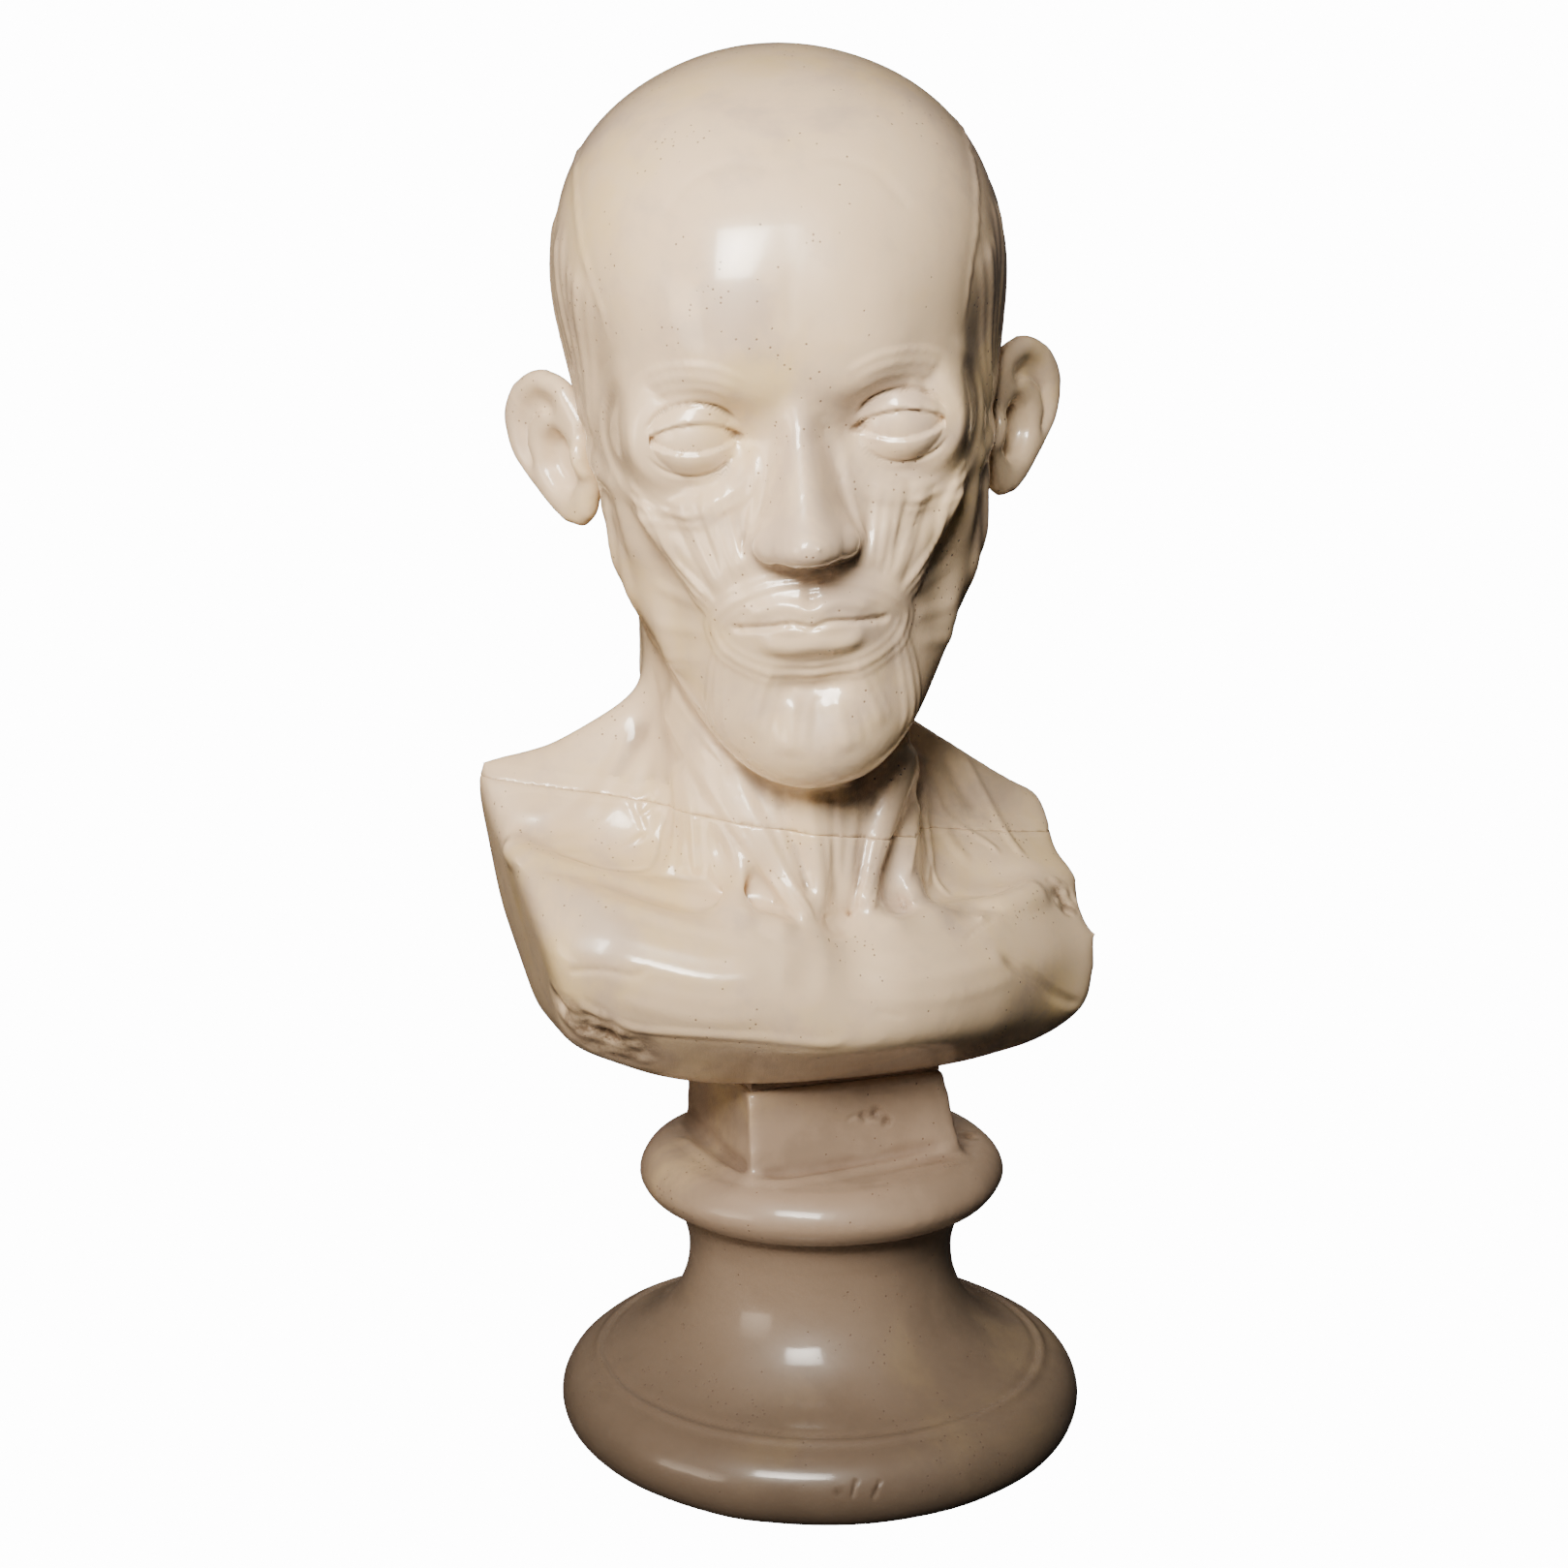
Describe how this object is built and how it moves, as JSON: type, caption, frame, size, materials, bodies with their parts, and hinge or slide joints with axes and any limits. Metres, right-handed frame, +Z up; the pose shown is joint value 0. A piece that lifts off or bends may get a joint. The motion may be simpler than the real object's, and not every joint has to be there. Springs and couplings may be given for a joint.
{
  "type": "anatomical plaster bust",
  "caption": "Anatomical study bust of varnished plaster: a head and chest showing the muscles under the skin, cast in joined hollow pieces on a square block and a turned round socle.",
  "frame": {"origin": "Centre of the socle's foot ring, on the surface that the bust stands on.", "axes": "+Z is up, -Y is the front of the chest, and -X is the figure's own right side."},
  "size_m": [0.2173, 0.1972, 0.482],
  "materials": {
    "varnished_plaster": "gloss",
    "socle_plaster": "satin",
    "raw_plaster": "matte",
    "plaster_scrim": "matte",
    "black_iron": "satin",
    "brass_wire": "satin",
    "beech": "matte"
  },
  "bodies": {
    "root": {"head_cast": "varnished_plaster", "left_ear": "varnished_plaster", "right_ear": "varnished_plaster", "chest_cast": "varnished_plaster", "socle_cast": "socle_plaster", "neck_plug": "raw_plaster", "crossbar_pads": "raw_plaster", "plaster_bed": "raw_plaster", "neck_joint_bandage": "plaster_scrim", "armature_rod": "black_iron", "chest_crossbar": "black_iron", "crossbar_nut": "black_iron", "socle_nut": "black_iron", "socle_washer": "black_iron", "left_ear_pin": "brass_wire", "right_ear_pin": "brass_wire", "block_dowels": "beech"}
  },
  "joints": []
}
